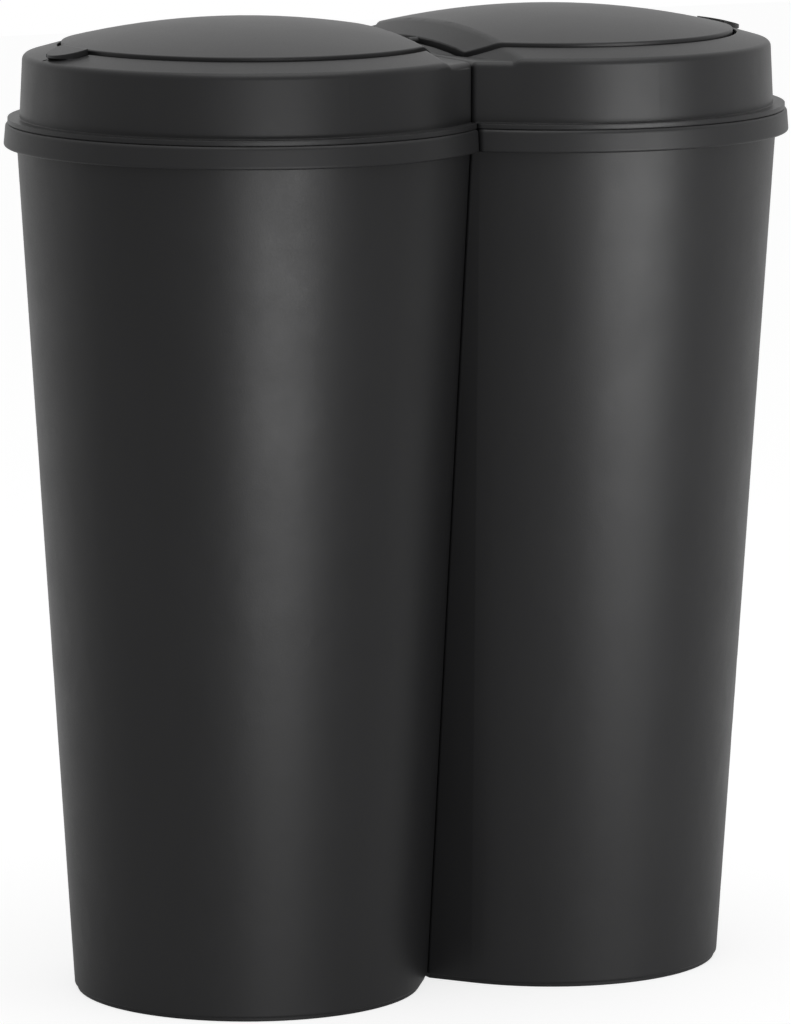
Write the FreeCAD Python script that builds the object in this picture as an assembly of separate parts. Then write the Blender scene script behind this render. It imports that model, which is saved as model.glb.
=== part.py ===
"""Double recycling bin: two tapered bins with D-shaped plans, standing flat face to flat face.

The two bins, their lid frames and their swing flaps come from one set of moulds, so the left
bin is the right bin turned half a turn about the vertical axis. Every piece is drawn for the
right-hand bin, whose round wall is centred on the line x = lobe_offset, y = 0.

Frame: X runs along the pair, Y points to the back, Z is up. The origin lies on the floor, in the
middle of the pair, on the plane where the flat faces meet. Millimetres.
"""
import FreeCAD
import Part

import math
import os

Vec = FreeCAD.Vector

# ---- driving dimensions ------------------------------------------------------------------

# the plan of one bin
lobe_offset = 105.8         # from the joint plane to the centre of the round wall
joint_gap = 0.6             # air between the two flat faces

least_corner = 0.6          # smallest rounding of an upright corner on the inside of a wall
corner_reach = 0.05         # a corner stands at least this far out of the circle

# the tapered bin
bin_base_radius = 108.2     # round wall at the floor
bin_neck_radius = 140.9     # round wall just under the collar
bin_base_half_width = 40.8  # from the middle of the flat face to its upright corner, at the floor
bin_neck_half_width = 94.6  # the same just under the collar
bin_corner = 3.0            # rounding of the upright corners
bin_wall = 2.4
bin_floor_thickness = 3.0
foot_height = 4.0           # the floor panel is raised on a rim by this much
foot_rim_width = 6.0
foot_line_height = 2.5      # the rim is set back under the wall up to here
foot_line_depth = 1.5
base_edge_round = 1.0       # rounding under the outer edge of the wall

# the collar round the top of the bin
shelf_top = 540.0           # the lid stands on this shelf
collar_height = 13.9
collar_bottom_radius = 149.1
collar_top_radius = 147.9
collar_wall = 2.4
collar_half_width = 107.0
collar_corner = 5.0         # where the collar stops at the flat face
collar_top_round = 2.2
collar_bottom_round = 1.4
shelf_thickness = 2.6
spigot_height = 13.0        # the neck that centres the lid, above the shelf
spigot_wall = 2.2
spigot_clearance = 0.7      # between the spigot and the lid's skirt

# coupling hooks and keyholes in the flat faces
lower_hook_height = 150.0
upper_hook_drop = 125.0     # below the shelf
hook_offset = 21.0          # hook in front of the middle, keyhole behind it
hook_neck_width = 7.0
hook_head_width = 17.0
hook_head_thickness = 2.2
hook_height = 22.0
hook_reach = 4.6            # from the other bin's flat face to the back of the hook's head
hook_clearance = 0.5
hook_lift = 26.0            # lift that frees the hooks
keyhole_box_wall = 2.0

# the lid frame
lid_seat_gap = 0.3
lid_flange_radius = 146.6
lid_flange_thickness = 3.0
lid_flange_half_width = 105.0
lid_flange_corner = 4.5
skirt_bottom_radius = 139.4
skirt_taper = 0.0495        # inward per unit of height
skirt_half_width = 97.3
skirt_corner = 4.5
skirt_wall = 2.4
lid_edge_round = 4.0        # between the skirt and the sloping top
lid_top_thickness = 2.4
throat_depth = 12.0         # collar that hangs round the opening
throat_wall = 2.0

# the crown: the domed surface that the flap and the lid's ring follow
crown_rise = 63.4           # from the shelf to the apex
crown_radius = 480.0
crown_crest = 26.0          # the crown bends down towards the joint from here
crown_bevel_slope = 0.65
crown_crest_round = 12.0
ring_drop = 1.8             # the lid's ring lies below the flap's dome by this much
ring_level_depth = 23.1     # below the apex: near the joint the ring is level at this height

# the swing flap
flap_radius = 113.6
flap_gap = 2.6              # between the flap and its opening
flap_joint_distance = 11.5  # from the joint plane to the flap's straight edge
flap_edge_round = 0.9
flap_thickness = 2.2
flap_rim_wall = 2.0
flap_rim_depth = 10.0       # how far the rim reaches below the hinge axis
flap_corner = 3.0           # where the flap's arc meets its straight edge

# the flap's hinge
axis_depth = 18.9           # below the apex of the crown
pin_radius = 2.6
pin_clearance = 0.06
pin_length = 10.0
inner_pin_length = 6.4
pin_end_gap = 0.8
hinge_boss_radius = 17.0
hinge_boss_proud = 1.6      # over the flap's dome
hinge_block_half_width = 7.0
hinge_block_depth = 6.0     # below the hinge axis
hinge_block_length = 14.0
hinge_groove_width = 1.8
hinge_groove_depth = 2.2
hinge_hole_radius = 1.6
hinge_hole_angle = -16.0
notch_radius = 4.4          # snap-in notch beside the boss
notch_angle = -11.0         # place of the notch round the opening

# the counterweight under the flap
weight_radius = 5.0
weight_length = 150.0
weight_drop = 18.5          # below the hinge axis
weight_clearance = 0.05
weight_chamfer = 0.8
hanger_spacing = 96.0
hanger_thickness = 2.4
hanger_top_half_width = 26.0
hanger_bottom_half_width = 9.0
hanger_below_weight = 3.0

# ---- derived places ----------------------------------------------------------------------

flat_face = joint_gap / 2
collar_bottom = shelf_top - collar_height
hook_heights = (lower_hook_height, shelf_top - upper_hook_drop)
lid_bottom = shelf_top + lid_seat_gap
crown_apex = shelf_top + crown_rise
ring_level = crown_apex - ring_level_depth
axis_height = crown_apex - axis_depth
opening_radius = flap_radius + flap_gap
opening_flat = flap_joint_distance - flap_gap
throat_bottom = axis_height - throat_depth
weight_axis = axis_height - weight_drop
build_margin = 20.0         # how far cutting tools reach past what they cut
above_crown = crown_apex + build_margin


def bin_radius(height):
    """Radius of the round wall at a height."""
    return bin_base_radius + (bin_neck_radius - bin_base_radius) * height / collar_bottom


def bin_half_width(height):
    """Half the breadth of the flat face at a height."""
    spread = bin_neck_half_width - bin_base_half_width
    return bin_base_half_width + spread * height / collar_bottom


def skirt_radius(height):
    """Outer radius of the lid's skirt at a height."""
    return skirt_bottom_radius - (height - lid_bottom) * skirt_taper


# ---- shared forms ------------------------------------------------------------------------

def d_outline(radius, flat, half_width, corner, height):
    """Closed outline: a circle, two straight walls that touch it, and a flat side.

    The flat side lies on x = flat and ends in a rounded corner at each half_width. Where the
    circle itself reaches further than that, the corners follow the circle.
    """
    centre_x = flat + corner
    across = lobe_offset - centre_x
    least_y = math.sqrt((radius - corner + corner_reach) ** 2 - across ** 2)
    centre_y = max(half_width - corner, least_y)
    lean = math.acos((radius - corner) / math.hypot(across, centre_y))
    normal = math.atan2(centre_y, -across) - lean
    touch_x = lobe_offset + radius * math.cos(normal)
    touch_y = radius * math.sin(normal)
    end_x = centre_x + corner * math.cos(normal)
    end_y = centre_y + corner * math.sin(normal)
    bend = (normal + math.pi) / 2
    bend_x = centre_x + corner * math.cos(bend)
    bend_y = centre_y + corner * math.sin(bend)
    back = Vec(touch_x, touch_y, height)
    front = Vec(touch_x, -touch_y, height)
    wall_back = Vec(end_x, end_y, height)
    wall_front = Vec(end_x, -end_y, height)
    flat_back = Vec(flat, centre_y, height)
    flat_front = Vec(flat, -centre_y, height)
    edges = [
        Part.Arc(front, Vec(lobe_offset + radius, 0, height), back).toShape(),
        Part.LineSegment(back, wall_back).toShape(),
        Part.Arc(wall_back, Vec(bend_x, bend_y, height), flat_back).toShape(),
        Part.LineSegment(flat_back, flat_front).toShape(),
        Part.Arc(flat_front, Vec(bend_x, -bend_y, height), wall_front).toShape(),
        Part.LineSegment(wall_front, front).toShape(),
    ]
    return Part.Wire(edges)


def d_solid(sections):
    """Solid through D outlines, each given as radius, flat, half width, corner and height."""
    return Part.makeLoft([d_outline(*section) for section in sections], True, True)


def d_plate(radius, flat, half_width, corner, bottom, top):
    """Upright prism with a D outline."""
    face = Part.Face(d_outline(radius, flat, half_width, corner, bottom))
    return face.extrude(Vec(0, 0, top - bottom))


def box(low, high):
    """Box between two corners."""
    size = [b - a for a, b in zip(low, high)]
    return Part.makeBox(size[0], size[1], size[2], Vec(*low))


def upright_cylinder(radius, x, y, bottom, top):
    """Cylinder along Z."""
    return Part.makeCylinder(radius, top - bottom, Vec(x, y, bottom))


def cylinder_along_x(radius, low_x, high_x, y, z):
    """Cylinder along X."""
    return Part.makeCylinder(radius, high_x - low_x, Vec(low_x, y, z), Vec(1, 0, 0))


def crown_outline(axis_z):
    """Closed outline under the crown in the plane y = 0, above the axis it is swung about.

    A straight slope rises from the joint and runs through a rounded crest into a long arc.
    """
    centre = Vec(lobe_offset, 0, axis_z)
    crest_rise = math.sqrt(crown_radius ** 2 - (lobe_offset - crown_crest) ** 2)
    crest = Vec(crown_crest, 0, axis_z + crest_rise)
    along = Vec(1, 0, crown_bevel_slope).normalize()
    outward = Vec(-along.z, 0, along.x)
    start = crest - outward * crown_crest_round - centre
    reach = start.dot(along)
    inner_radius = crown_radius - crown_crest_round
    shift = math.sqrt(reach ** 2 - start.dot(start) + inner_radius ** 2) - reach
    bend_centre = centre + start + along * shift
    slope_end = bend_centre + outward * crown_crest_round
    arc_start = centre + (bend_centre - centre) * (crown_radius / inner_radius)
    half_way = slope_end - bend_centre + arc_start - bend_centre
    bend_middle = bend_centre + half_way.normalize() * crown_crest_round
    slope_start = slope_end - along * ((slope_end.x + build_margin) / along.x)
    apex = Vec(lobe_offset, 0, axis_z + crown_radius)
    outer_reach = collar_bottom_radius + build_margin
    outer_rise = math.sqrt(crown_radius ** 2 - outer_reach ** 2)
    outer = Vec(lobe_offset + outer_reach, 0, axis_z + outer_rise)
    low = axis_z + crown_radius / 2
    return Part.Wire([
        Part.LineSegment(Vec(slope_start.x, 0, low), slope_start).toShape(),
        Part.LineSegment(slope_start, slope_end).toShape(),
        Part.Arc(slope_end, bend_middle, arc_start).toShape(),
        Part.Arc(arc_start, apex, outer).toShape(),
        Part.LineSegment(outer, Vec(outer.x, 0, low)).toShape(),
        Part.LineSegment(Vec(outer.x, 0, low), Vec(slope_start.x, 0, low)).toShape(),
    ])


def crown_solid(offset):
    """Everything under the crown, which is moved up by offset.

    The outline is swung about a level axis one crown radius below the apex, so the crown is
    domed both ways.
    """
    axis_z = crown_apex + offset - crown_radius
    half_swing = math.degrees(math.atan2(collar_bottom_radius + build_margin, crown_radius / 2))
    face = Part.Face(crown_outline(axis_z))
    face.rotate(Vec(0, 0, axis_z), Vec(1, 0, 0), -half_swing)
    return face.revolve(Vec(0, 0, axis_z), Vec(1, 0, 0), 2 * half_swing)


def under_crown(shape, offset):
    """The part of a shape that lies under the crown."""
    return shape.common(crown_solid(offset))


def top_rim(block):
    """The upper edges of the upright faces of a block that has a level underside."""
    bottom = block.BoundBox.ZMin + 0.01
    rim = []
    for face in block.Faces:
        if face.BoundBox.ZMin < bottom < face.BoundBox.ZMax:
            rim.extend(edge for edge in face.Edges if edge.BoundBox.ZMin > bottom)
    return rim


# ---- the bin -----------------------------------------------------------------------------

def wall_sections(inset, low, high):
    """Two D outlines of the tapered wall, moved inwards."""
    corner = max(bin_corner - inset, least_corner)
    return [
        (bin_radius(z) - inset, flat_face + inset, bin_half_width(z) - inset, corner, z)
        for z in (low, high)
    ]


def bin_body():
    """Tapered wall with its raised floor panel and foot rim."""
    outer = d_solid(wall_sections(0, foot_line_height, shelf_top))
    base_edges = [edge for edge in outer.Edges if edge.BoundBox.ZMax < foot_line_height + 0.01]
    outer = outer.makeFillet(base_edge_round, base_edges)
    foot = d_solid(wall_sections(foot_line_depth, 0, foot_height + bin_floor_thickness / 2))
    inside = d_solid(wall_sections(bin_wall, foot_height + bin_floor_thickness, shelf_top))
    under = d_solid(wall_sections(foot_rim_width, 0, foot_height))
    return outer.fuse(foot).cut(inside).cut(under)


def collar_sections(inset, low, high):
    """Two D outlines of the collar, moved inwards."""
    flat = flat_face + inset
    half_width = collar_half_width - inset
    corner = collar_corner - inset
    return [
        (collar_bottom_radius - inset, flat, half_width, corner, low),
        (collar_top_radius - inset, flat, half_width, corner, high),
    ]


def level_rim(shape, height):
    """The edges of a shape at a height, apart from the one on the flat face."""
    rim = [edge for edge in shape.Edges if edge.BoundBox.ZLength < 0.01]
    rim = [edge for edge in rim if abs(edge.BoundBox.ZMin - height) < 0.01]
    return [edge for edge in rim if edge.BoundBox.XMin > flat_face - 0.01
            and edge.BoundBox.XMax > flat_face + 0.01]


def bin_collar():
    """Shelf, hanging collar and spigot round the top of the bin."""
    outer = d_solid(collar_sections(0, collar_bottom, shelf_top))
    outer = outer.makeFillet(collar_top_round, level_rim(outer, shelf_top))
    outer = outer.makeFillet(collar_bottom_round, level_rim(outer, collar_bottom))
    shelf_bottom = shelf_top - shelf_thickness
    collar = outer.cut(d_solid(collar_sections(collar_wall, collar_bottom, shelf_bottom)))
    spigot_top = shelf_top + spigot_height
    spigot_inset = skirt_wall + spigot_clearance
    spigot_radius = skirt_radius(spigot_top) - spigot_inset
    spigot_flat = flat_face + spigot_inset
    spigot_half_width = skirt_half_width - spigot_inset
    spigot_corner = max(skirt_corner - spigot_inset, least_corner)
    spigot = d_plate(
        spigot_radius, spigot_flat, spigot_half_width, spigot_corner, shelf_bottom, spigot_top
    )
    mouth = d_plate(
        spigot_radius - spigot_wall,
        spigot_flat + spigot_wall,
        spigot_half_width - spigot_wall,
        least_corner,
        shelf_bottom,
        spigot_top,
    )
    wall_hole = d_solid(wall_sections(bin_wall, collar_bottom, shelf_bottom))
    beside_flat = box(
        (flat_face + bin_wall, -collar_bottom_radius, collar_bottom),
        (lobe_offset + collar_bottom_radius, collar_bottom_radius, shelf_bottom),
    )
    flat_side = outer.cut(wall_hole.fuse(beside_flat))
    flat_side = flat_side.common(d_solid(wall_sections(0, collar_bottom, shelf_bottom)))
    return collar.fuse([flat_side, spigot]).cut(mouth)


def hook(height):
    """T-shaped coupling hook that stands out of the flat face."""
    low = height - hook_height / 2
    high = height + hook_height / 2
    back = -flat_face - hook_reach
    head_front = back + hook_head_thickness
    root = flat_face + bin_wall / 2
    neck = box(
        (head_front, -hook_offset - hook_neck_width / 2, low),
        (root, -hook_offset + hook_neck_width / 2, high),
    )
    head = box(
        (back, -hook_offset - hook_head_width / 2, low),
        (head_front, -hook_offset + hook_head_width / 2, high),
    )
    return neck.fuse(head)


def keyhole_housing(height):
    """Shallow box inside the flat wall that closes a keyhole off from the bin's inside."""
    half_height = hook_height / 2 + hook_lift + hook_clearance + keyhole_box_wall
    half_width = hook_head_width / 2 + hook_clearance + keyhole_box_wall
    depth = hook_reach + hook_clearance + keyhole_box_wall
    return box(
        (flat_face, hook_offset - half_width, height - half_height),
        (flat_face + depth, hook_offset + half_width, height + half_height),
    )


def keyhole_hollow(height):
    """Room for the other bin's hook: a slot with a wide window above and below it."""
    reach = hook_reach + hook_clearance
    lip = hook_reach - hook_head_thickness - hook_clearance
    half_head = hook_head_width / 2 + hook_clearance
    half_neck = hook_neck_width / 2 + hook_clearance
    slot_half = hook_height / 2
    window = hook_lift + hook_clearance
    cavity = box(
        (flat_face + lip, hook_offset - half_head, height - slot_half - window),
        (flat_face + reach, hook_offset + half_head, height + slot_half + window),
    )
    slot = box(
        (-build_margin, hook_offset - half_neck, height - slot_half - window),
        (flat_face + lip, hook_offset + half_neck, height + slot_half + window),
    )
    hollow = cavity.fuse(slot)
    for low in (height - slot_half - window, height + slot_half + hook_clearance):
        hollow = hollow.fuse(box(
            (-build_margin, hook_offset - half_head, low),
            (flat_face + lip, hook_offset + half_head, low + window - hook_clearance),
        ))
    return hollow


def make_bin():
    """One bin: wall, collar, hooks and keyholes in one moulding."""
    solid = bin_body().fuse(bin_collar())
    for height in hook_heights:
        solid = solid.fuse([hook(height), keyhole_housing(height)])
    for height in hook_heights:
        solid = solid.cut(keyhole_hollow(height))
    return solid


# ---- the lid frame -----------------------------------------------------------------------

def level_block(offset):
    """Everything under the height where the ring is level near the joint."""
    reach = collar_bottom_radius + build_margin
    return box(
        (-build_margin, -reach, lid_bottom - build_margin),
        (lobe_offset, reach, ring_level + offset),
    )


def under_ring(shape, offset):
    """The part of a shape that lies under the lid's ring, which is moved up by offset."""
    return shape.common(crown_solid(offset - ring_drop).fuse(level_block(offset)))


def lid_sides(inset):
    """Solid between the outer faces of the lid's skirt, moved inwards."""
    corner = max(skirt_corner - inset, least_corner)
    return d_solid([
        (skirt_radius(z) - inset, flat_face + inset, skirt_half_width - inset, corner, z)
        for z in (lid_bottom, above_crown)
    ])


def lid_body():
    """Block of the lid's outer form, its upper edges rounded.

    The domed part and the level part near the joint are rounded one by one.
    """
    sides = lid_sides(0)
    domed = under_crown(sides, -ring_drop)
    level = sides.common(level_block(0))
    rounded = [block.makeFillet(lid_edge_round, top_rim(block)) for block in (domed, level)]
    return rounded[0].fuse(rounded[1])


def opening_block(inset, bottom, top):
    """Upright block with the outline of the flap's opening, moved inwards."""
    corner = flap_corner + flap_gap - inset
    return d_plate(opening_radius - inset, opening_flat + inset, 0, corner, bottom, top)


def lid_flange():
    """Flange at the foot of the skirt, which rests on the bin's shelf."""
    top = lid_bottom + lid_flange_thickness
    return d_plate(
        lid_flange_radius, flat_face, lid_flange_half_width, lid_flange_corner, lid_bottom, top
    )


def hinge_boss():
    """Half-round boss that stands proud over the outer hinge pin."""
    centre_x = lobe_offset + opening_radius
    disc = upright_cylinder(hinge_boss_radius, centre_x, 0, axis_height, above_crown)
    return under_crown(disc, hinge_boss_proud)


def hinge_blocks():
    """The solid places round the outer and the inner bore."""
    low = axis_height - hinge_block_depth
    outer_x = lobe_offset + opening_radius
    outer = box(
        (outer_x, -hinge_block_half_width, low),
        (outer_x + hinge_block_length, hinge_block_half_width, above_crown),
    )
    inner = box(
        (flat_face + skirt_wall / 2, -hinge_block_half_width, low),
        (opening_flat, hinge_block_half_width, above_crown),
    )
    return under_ring(outer.fuse(inner), -lid_top_thickness / 2)


def hinge_bores():
    """The two blind bores for the flap's pins."""
    radius = pin_radius + pin_clearance
    outer_face = lobe_offset + flap_radius
    outer_end = outer_face + pin_length + pin_end_gap
    inner_end = flap_joint_distance - inner_pin_length - pin_end_gap
    outer = cylinder_along_x(radius, outer_face, outer_end, 0, axis_height)
    inner = cylinder_along_x(radius, inner_end, flap_joint_distance, 0, axis_height)
    return outer.fuse(inner)


def boss_groove():
    """Groove round the back half of the hinge boss, ending in a small round hole."""
    centre_x = lobe_offset + opening_radius
    outer_radius = hinge_boss_radius + hinge_groove_width
    ring = upright_cylinder(outer_radius, centre_x, 0, axis_height, above_crown)
    ring = ring.cut(upright_cylinder(hinge_boss_radius, centre_x, 0, axis_height, above_crown))
    ring = ring.cut(box(
        (centre_x - outer_radius, -outer_radius, axis_height),
        (centre_x + outer_radius, 0, above_crown),
    ))
    ring = ring.cut(crown_solid(-ring_drop - hinge_groove_depth))
    turn = math.radians(hinge_hole_angle)
    middle = hinge_boss_radius + hinge_groove_width / 2
    hole_x = centre_x + middle * math.cos(turn)
    hole_y = middle * math.sin(turn)
    hole = upright_cylinder(hinge_hole_radius, hole_x, hole_y, axis_height - skirt_wall, above_crown)
    return ring.fuse(hole)


def snap_notch():
    """Notch beside the boss, through which the flap's pin is sprung into its bore."""
    turn = math.radians(notch_angle)
    x = lobe_offset + opening_radius * math.cos(turn)
    y = opening_radius * math.sin(turn)
    return upright_cylinder(notch_radius, x, y, throat_bottom, above_crown)


def make_lid_frame():
    """Skirt, flange, sloping ring, throat and hinge bearings in one moulding."""
    shell = lid_body().fuse([lid_flange(), hinge_boss()])
    shell = shell.cut(under_ring(lid_sides(skirt_wall), -lid_top_thickness))
    throat = opening_block(-throat_wall, throat_bottom, above_crown)
    throat = under_ring(throat, -lid_top_thickness / 2)
    shell = shell.fuse([throat, hinge_blocks()])
    opening = opening_block(0, lid_bottom, above_crown)
    return shell.cut([opening, hinge_bores(), boss_groove(), snap_notch()])


# ---- the swing flap ----------------------------------------------------------------------

def flap_outline(inset, bottom):
    """Upright block with the flap's outline, moved inwards."""
    corner = max(flap_corner - inset, least_corner)
    flat = flap_joint_distance + inset
    return d_plate(flap_radius - inset, flat, 0, corner, bottom, above_crown)


def weight_hanger(x):
    """Tapered web under the dome with a hole that grips the counterweight."""
    bottom = weight_axis - weight_radius - hanger_below_weight
    corners = [
        Vec(x - hanger_thickness / 2, -hanger_bottom_half_width, bottom),
        Vec(x - hanger_thickness / 2, hanger_bottom_half_width, bottom),
        Vec(x - hanger_thickness / 2, hanger_top_half_width, above_crown),
        Vec(x - hanger_thickness / 2, -hanger_top_half_width, above_crown),
    ]
    web = Part.Face(Part.makePolygon(corners + corners[:1]))
    return web.extrude(Vec(hanger_thickness, 0, 0))


def make_flap():
    """Domed flap with its hanging rim, two hinge pins and two webs for the counterweight."""
    bottom = axis_height - flap_rim_depth
    shell = under_crown(flap_outline(0, bottom), 0)
    shell = shell.makeFillet(flap_edge_round, top_rim(shell))
    shell = shell.cut(under_crown(flap_outline(flap_rim_wall, bottom), -flap_thickness))
    webs = [weight_hanger(lobe_offset + side * hanger_spacing / 2) for side in (-1, 1)]
    webs = [under_crown(web, -flap_thickness / 2) for web in webs]
    outer_face = lobe_offset + flap_radius
    outer_pin = cylinder_along_x(
        pin_radius, outer_face - flap_rim_wall, outer_face + pin_length, 0, axis_height
    )
    inner_pin = cylinder_along_x(
        pin_radius, flap_joint_distance - inner_pin_length, flap_joint_distance + flap_rim_wall,
        0, axis_height,
    )
    shell = shell.fuse(webs + [outer_pin, inner_pin])
    half = weight_length / 2
    bore = cylinder_along_x(
        weight_radius + weight_clearance, lobe_offset - half, lobe_offset + half, 0, weight_axis
    )
    return shell.cut(bore)


def make_counterweight():
    """Steel bar that hangs under the hinge axis, so that the flap swings shut."""
    half = weight_length / 2
    bar = cylinder_along_x(weight_radius, lobe_offset - half, lobe_offset + half, 0, weight_axis)
    ends = [edge for edge in bar.Edges if edge.BoundBox.XLength < 0.01]
    return bar.makeChamfer(weight_chamfer, ends)


def save(name, shape):
    """Write one piece of the right-hand bin, and its twin turned half a turn."""
    turned = shape.copy()
    turned.rotate(Vec(0, 0, 0), Vec(0, 0, 1), 180)
    for side, solid in (("right", shape), ("left", turned)):
        solid.exportStep("parts/" + side + "_" + name + ".step")
    print(name, "valid" if shape.isValid() else "BROKEN", len(shape.Solids), "solid,",
          round(shape.Volume), "mm3")


os.makedirs("parts", exist_ok=True)
save("bin", make_bin())
save("lid_frame", make_lid_frame())
save("flap", make_flap())
save("counterweight", make_counterweight())
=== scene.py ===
"""Studio picture of the double recycling bin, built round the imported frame. Metres, +Z up."""

import math

import bpy
from mathutils import Matrix, Vector

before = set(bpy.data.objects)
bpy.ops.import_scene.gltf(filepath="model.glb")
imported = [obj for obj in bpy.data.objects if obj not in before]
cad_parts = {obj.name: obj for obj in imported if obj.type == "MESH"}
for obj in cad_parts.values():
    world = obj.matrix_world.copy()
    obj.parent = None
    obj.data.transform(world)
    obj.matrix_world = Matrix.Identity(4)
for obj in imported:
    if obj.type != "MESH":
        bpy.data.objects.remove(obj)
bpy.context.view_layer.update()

# ---- the photograph's camera -------------------------------------------------------------

CAMERA_AZIMUTH = -27.39         # degrees round the bins, from the front towards the left
CAMERA_DISTANCE = 4.420         # from the origin, along the floor
EYE_HEIGHT = 0.9908
CAMERA_HEADING = 0.034          # degrees off the line to the origin, towards the left
CAMERA_PITCH = 9.007            # degrees downwards
CAMERA_ROLL = 0.085
CAMERA_LENS = 251.8             # millimetres, on a sensor whose long side is 36 mm

# ---- colours -----------------------------------------------------------------------------

CHARCOAL = (0.0150, 0.0150, 0.0157)
STEEL = (0.50, 0.50, 0.51)
DUST = (0.20, 0.20, 0.20, 1.0)
FLOOR_PAINT = (0.45, 0.45, 0.45, 1.0)
WHITE = (1.0, 1.0, 1.0, 1.0)

# ---- studio light ------------------------------------------------------------------------

AMBIENT = 0.50                  # strength of the even light from all round
FRONT_GLEAM = 0.42              # how bright the studio in front of the bins is in reflections
BACK_GLEAM = 0.76               # the same behind and above them
GLEAM_TURN = (-0.4, 0.7)        # share of AWAY in a ray, where front ends and back begins
GLEAM_RISE = (0.2, 0.7)         # upward share of a ray, where the bright ceiling begins and ends
FLOOR_GLOW = 0.75               # added to the floor where it is seen, so that it reads as white
FLOOR_FRONT_GLEAM = 0.10        # how bright the floor is in reflections, before the bins
FLOOR_BACK_GLEAM = 0.52         # the same behind them
FLOOR_GLEAM_TURN = (-0.3, 0.6)  # metres along AWAY, where one passes into the other
FLOOR_REACH = 6.0               # from the origin to each side of the floor
AWAY = (0.460, 0.888, 0.0)      # level direction from the camera past the bins
LAMP_TARGET = (0.0, 0.0, 0.30)

# name, azimuth and elevation from the target, distance, width, height, watts, and the bin it
# lights where it lights only one
LAMPS = (
    ("overhead", 0.0, 80.0, 2.0, 1.60, 1.60, 10.5, None),
    ("left_key", -13.0, -6.0, 1.5, 0.85, 0.26, 8.6, "left"),
    ("right_key", 17.0, 0.0, 1.5, 0.95, 0.56, 13.0, "right"),
)

# ---- surface of the plastic --------------------------------------------------------------

SPECULAR_LEVEL = 0.36
BODY_ROUGHNESS = 0.42
LID_ROUGHNESS = 0.40
BODY_GRAIN_SCALE = 900.0
LID_GRAIN_SCALE = 1100.0
GRAIN_NOISE = (2.0, 0.5)        # detail and roughness; the scale is the piece's own
FLOW_NOISE = (9.0, 4.0, 0.55)   # scale, detail and roughness, as in the next ones
SMUDGE_NOISE = (23.0, 5.0, 0.6)
FLOW_STRETCH = (1.0, 1.0, 0.16)  # draws the flow marks out up the walls
FLOW_DARKEST = 0.90             # factors on the piece's colour
FLOW_LIGHTEST = 1.12
WORN_TINT = 2.6
WORN_SHARE = 0.35               # how far a rubbed edge takes that tint
WORN_LEAST = 0.25               # rubbing left on an edge where the smudges are weakest
WORN_POLISH = 0.08              # roughness that rubbing takes off
EDGE_RADIUS = 0.0012            # of the softened edges
EDGE_SAMPLES = 4
EDGE_BENDS = (0.995, 0.80)      # cosine from true to soft normal, where rubbing starts, is full
DUST_SLOPES = (0.6, 1.0)        # upward share of a normal, where dust starts and is thickest
DUST_SHARE = 0.14
SMUDGE_ROUGHNESS = (-0.03, 0.04)  # added to the piece's roughness
GRAIN_ROUGHNESS = 0.10
FLOW_RELIEF = (0.04, 0.004)     # strength and distance of a bump
GRAIN_RELIEF = (0.16, 0.0002)

# ---- surface of the steel ----------------------------------------------------------------

LINE_STRETCH = (0.02, 1.0, 1.0)
LINE_NOISE = (2600.0, 2.0, 0.6)
LINE_RELIEF = (0.2, 0.00005)
STEEL_ROUGHNESS = (0.22, 0.40)
FILM_NOISE = (60.0, 5.0, 0.6)
FILM_TINT = 0.72

# the part of a noise's range that a surface uses
NARROW = (0.35, 0.65)
MIDDLE = (0.30, 0.70)
BROAD = (0.25, 0.75)
FILM_RANGE = (0.35, 0.70)


# ---- node helpers ------------------------------------------------------------------------

class Nodes:
    """Short way to build a node tree: add a node, set its inputs, link the rest."""

    def __init__(self, tree):
        self.tree = tree
        tree.nodes.clear()

    def add(self, kind, inputs=(), **settings):
        node = self.tree.nodes.new(kind)
        for name, value in settings.items():
            setattr(node, name, value)
        for name, value in dict(inputs).items():
            if isinstance(value, bpy.types.NodeSocket):
                self.tree.links.new(value, node.inputs[name])
            else:
                node.inputs[name].default_value = value
        return node

    def math(self, operation, a, b):
        return self.add("ShaderNodeMath", {0: a, 1: b}, operation=operation).outputs[0]

    def stretch(self, place, factors):
        node = self.add("ShaderNodeVectorMath", {0: place, 1: factors}, operation="MULTIPLY")
        return node.outputs[0]

    def dot(self, a, b):
        node = self.add("ShaderNodeVectorMath", {0: a, 1: b}, operation="DOT_PRODUCT")
        return node.outputs["Value"]

    def upward(self, direction):
        return self.add("ShaderNodeSeparateXYZ", {0: direction}).outputs[2]

    def noise(self, place, scale, detail, roughness):
        inputs = {"Vector": place, "Scale": scale, "Detail": detail, "Roughness": roughness}
        return self.add("ShaderNodeTexNoise", inputs).outputs["Fac"]

    def spread(self, value, ends, new_low=0.0, new_high=1.0):
        inputs = {"Value": value, "From Min": ends[0], "From Max": ends[1]}
        inputs.update({"To Min": new_low, "To Max": new_high})
        return self.add("ShaderNodeMapRange", inputs).outputs["Result"]

    def blend(self, share, first, second):
        # 6 and 7 are the colour sockets of a Mix node
        node = self.add("ShaderNodeMix", {0: share, 6: first, 7: second}, data_type="RGBA")
        return node.outputs[2]

    def bump(self, height, relief, more=()):
        inputs = {"Height": height, "Strength": relief[0], "Distance": relief[1]}
        inputs.update(more)
        return self.add("ShaderNodeBump", inputs).outputs["Normal"]


def new_material(name):
    """An empty material and the nodes to fill it with."""
    material = bpy.data.materials.new(name)
    material.use_nodes = True
    return material, Nodes(material.node_tree)


def tint(colour, factor):
    """A colour made lighter or darker, with its alpha."""
    return tuple(channel * factor for channel in colour) + (1.0,)


# ---- materials ---------------------------------------------------------------------------

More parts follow.
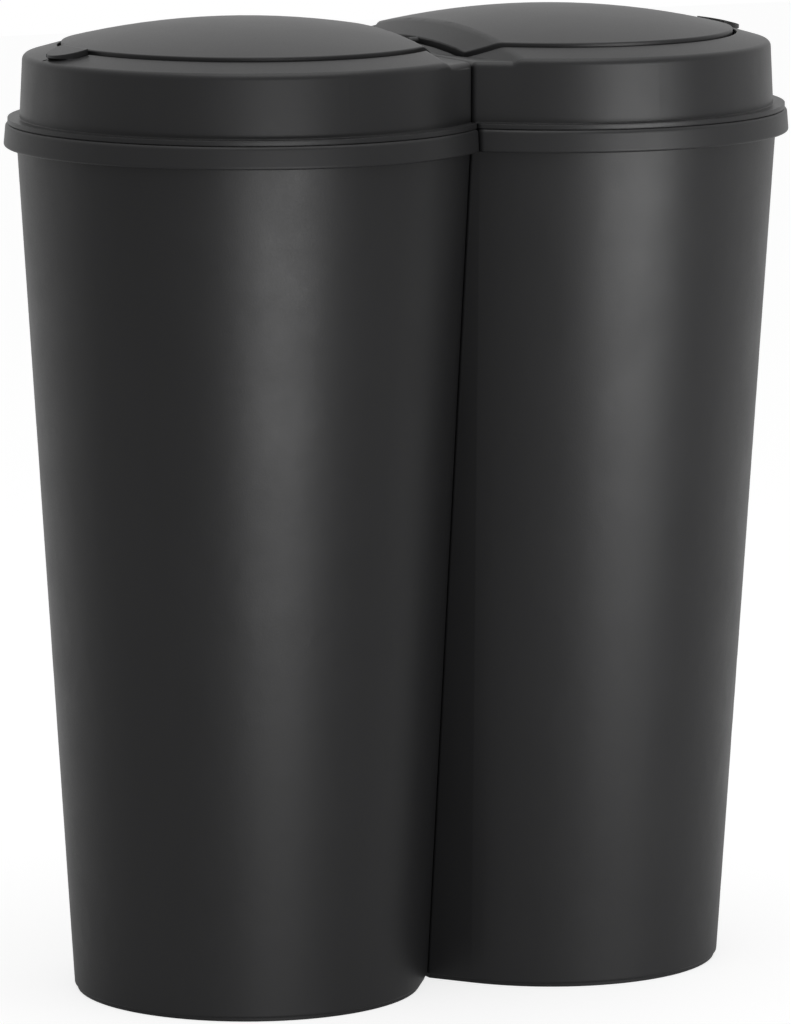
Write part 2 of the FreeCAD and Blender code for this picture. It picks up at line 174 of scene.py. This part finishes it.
def moulded_plastic(name, colour, roughness, grain_scale):
    """Satin polypropylene: fine mould grain, faint flow marks, rubbed edges, a little dust."""
    material, nodes = new_material(name)
    place = nodes.add("ShaderNodeTexCoord").outputs["Object"]
    normal = nodes.add("ShaderNodeNewGeometry").outputs["Normal"]
    flow = nodes.noise(nodes.stretch(place, FLOW_STRETCH), *FLOW_NOISE)
    smudges = nodes.noise(place, *SMUDGE_NOISE)
    grain = nodes.noise(place, grain_scale, *GRAIN_NOISE)
    soft_normal = nodes.add("ShaderNodeBevel", {"Radius": EDGE_RADIUS},
                            samples=EDGE_SAMPLES).outputs["Normal"]

    edge = nodes.spread(nodes.dot(soft_normal, normal), EDGE_BENDS)
    worn = nodes.math("MULTIPLY", edge, nodes.spread(smudges, NARROW, WORN_LEAST))
    dust = nodes.math("MULTIPLY",
                      nodes.spread(nodes.upward(normal), DUST_SLOPES, 0.0, DUST_SHARE),
                      nodes.spread(smudges, MIDDLE))

    base = nodes.blend(nodes.spread(flow, NARROW),
                       tint(colour, FLOW_DARKEST), tint(colour, FLOW_LIGHTEST))
    base = nodes.blend(dust, base, DUST)
    base = nodes.blend(nodes.math("MULTIPLY", worn, WORN_SHARE), base, tint(colour, WORN_TINT))

    smoothest, roughest = (roughness + change for change in SMUDGE_ROUGHNESS)
    # the grain's noise is centred on 0.5
    speckle = nodes.math("MULTIPLY", nodes.math("SUBTRACT", grain, 0.5), GRAIN_ROUGHNESS)
    rough = nodes.math("ADD", nodes.spread(smudges, BROAD, smoothest, roughest), speckle)
    rough = nodes.math("SUBTRACT", rough, nodes.math("MULTIPLY", worn, WORN_POLISH))

    waves = nodes.bump(flow, FLOW_RELIEF, {"Normal": soft_normal})
    bumps = nodes.bump(grain, GRAIN_RELIEF, {"Normal": waves})
    shader = nodes.add("ShaderNodeBsdfPrincipled", {
        "Base Color": base, "Roughness": rough, "Normal": bumps,
        "Specular IOR Level": SPECULAR_LEVEL,
    })
    nodes.add("ShaderNodeOutputMaterial", {"Surface": shader.outputs[0]})
    return material


def drawn_steel(name):
    """Bright drawn bar: fine lines along X, and a film of grey oxide."""
    material, nodes = new_material(name)
    place = nodes.add("ShaderNodeTexCoord").outputs["Object"]
    lines = nodes.noise(nodes.stretch(place, LINE_STRETCH), *LINE_NOISE)
    film = nodes.noise(place, *FILM_NOISE)
    base = nodes.blend(nodes.spread(film, FILM_RANGE), tint(STEEL, 1.0), tint(STEEL, FILM_TINT))
    shader = nodes.add("ShaderNodeBsdfPrincipled", {
        "Base Color": base, "Roughness": nodes.spread(lines, MIDDLE, *STEEL_ROUGHNESS),
        "Normal": nodes.bump(lines, LINE_RELIEF), "Metallic": 1.0,
    })
    nodes.add("ShaderNodeOutputMaterial", {"Surface": shader.outputs[0]})
    return material


def dress(node, material):
    """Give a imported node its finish."""
    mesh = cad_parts[node].data
    mesh.materials.clear()
    mesh.materials.append(material)


# ---- studio ------------------------------------------------------------------------------

def floor_material():
    """Pale floor that keeps the bins' shadow and reads as white to the camera."""
    material, nodes = new_material("studio_floor")
    rays = nodes.add("ShaderNodeLightPath")
    place = nodes.add("ShaderNodeTexCoord").outputs["Object"]
    gleam = nodes.spread(nodes.dot(place, AWAY), FLOOR_GLEAM_TURN,
                         FLOOR_FRONT_GLEAM, FLOOR_BACK_GLEAM)
    strength = nodes.math("ADD",
                          nodes.math("MULTIPLY", rays.outputs["Is Camera Ray"], FLOOR_GLOW),
                          nodes.math("MULTIPLY", rays.outputs["Is Glossy Ray"], gleam))
    matt = nodes.add("ShaderNodeBsdfDiffuse", {"Color": FLOOR_PAINT})
    glow = nodes.add("ShaderNodeEmission", {"Color": WHITE, "Strength": strength})
    both = nodes.add("ShaderNodeAddShader", {0: matt.outputs[0], 1: glow.outputs[0]})
    nodes.add("ShaderNodeOutputMaterial", {"Surface": both.outputs[0]})
    return material


def make_floor():
    """Flat studio floor under the bins."""
    reach = FLOOR_REACH
    mesh = bpy.data.meshes.new("studio_floor")
    corners = [(-reach, -reach, 0), (reach, -reach, 0), (reach, reach, 0), (-reach, reach, 0)]
    mesh.from_pydata(corners, [], [(0, 1, 2, 3)])
    floor = bpy.data.objects.new("studio_floor", mesh)
    bpy.context.collection.objects.link(floor)
    mesh.materials.append(floor_material())


def make_world():
    """White to the camera and in reflections from behind, softer light from all round."""
    world = bpy.data.worlds.new("studio")
    world.use_nodes = True
    nodes = Nodes(world.node_tree)
    rays = nodes.add("ShaderNodeLightPath")
    camera_ray = rays.outputs["Is Camera Ray"]
    ray = nodes.add("ShaderNodeTexCoord").outputs["Generated"]
    level = nodes.spread(nodes.dot(ray, AWAY), GLEAM_TURN, FRONT_GLEAM, BACK_GLEAM)
    ceiling = nodes.spread(nodes.upward(ray), GLEAM_RISE, 0.0, BACK_GLEAM)
    gleam = nodes.math("MAXIMUM", nodes.math("MAXIMUM", level, ceiling), camera_ray)
    seen = nodes.math("MAXIMUM", camera_ray, rays.outputs["Is Glossy Ray"])
    white = nodes.add("ShaderNodeBackground", {"Color": WHITE, "Strength": gleam})
    even = nodes.add("ShaderNodeBackground", {"Color": WHITE, "Strength": AMBIENT})
    both = nodes.add("ShaderNodeMixShader", {0: seen, 1: even.outputs[0], 2: white.outputs[0]})
    nodes.add("ShaderNodeOutputWorld", {"Surface": both.outputs[0]})
    bpy.context.scene.world = world


def softbox(name, azimuth, elevation, distance, width, height, power, side):
    """Rectangular soft light that faces the middle of the bins, or lights one of them alone."""
    light = bpy.data.lights.new(name, "AREA")
    light.shape = "RECTANGLE"
    light.size = width
    light.size_y = height
    light.energy = power
    turn = math.radians(azimuth)
    rise = math.radians(elevation)
    back = Vector((math.sin(turn) * math.cos(rise), -math.cos(turn) * math.cos(rise),
                   math.sin(rise)))
    lamp = bpy.data.objects.new(name, light)
    lamp.matrix_world = Matrix.Translation(Vector(LAMP_TARGET) + back * distance) @ (
        (-back).to_track_quat("-Z", "Y").to_matrix().to_4x4())
    bpy.context.collection.objects.link(lamp)
    if side:
        lit = bpy.data.collections.new(name + "_lights")
        for piece in ("bin", "lid_frame", "flap"):
            lit.objects.link(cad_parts[side + "_" + piece])
        lamp.light_linking.receiver_collection = lit


def make_camera():
    """Camera at the photograph's place, height and angle."""
    turn = math.radians(CAMERA_AZIMUTH)
    camera_data = bpy.data.cameras.new("camera")
    camera_data.lens = CAMERA_LENS
    camera = bpy.data.objects.new("camera", camera_data)
    place = Vector((math.sin(turn) * CAMERA_DISTANCE, -math.cos(turn) * CAMERA_DISTANCE,
                    EYE_HEIGHT))
    aim = (Matrix.Rotation(turn + math.radians(CAMERA_HEADING), 4, "Z")
           @ Matrix.Rotation(math.radians(90.0 - CAMERA_PITCH), 4, "X")
           @ Matrix.Rotation(math.radians(CAMERA_ROLL), 4, "Z"))
    camera.matrix_world = Matrix.Translation(place) @ aim
    bpy.context.collection.objects.link(camera)
    bpy.context.scene.camera = camera


make_camera()
make_world()
make_floor()
for lamp in LAMPS:
    softbox(*lamp)

body_plastic = moulded_plastic("body_plastic", CHARCOAL, BODY_ROUGHNESS, BODY_GRAIN_SCALE)
lid_plastic = moulded_plastic("lid_plastic", CHARCOAL, LID_ROUGHNESS, LID_GRAIN_SCALE)
flap_plastic = moulded_plastic("flap_plastic", CHARCOAL, LID_ROUGHNESS, LID_GRAIN_SCALE)
bar_steel = drawn_steel("bar_steel")
for side in ("left", "right"):
    dress(side + "_bin", body_plastic)
    dress(side + "_lid_frame", lid_plastic)
    dress(side + "_flap", flap_plastic)
    dress(side + "_counterweight", bar_steel)

bpy.context.scene.view_settings.view_transform = "Standard"
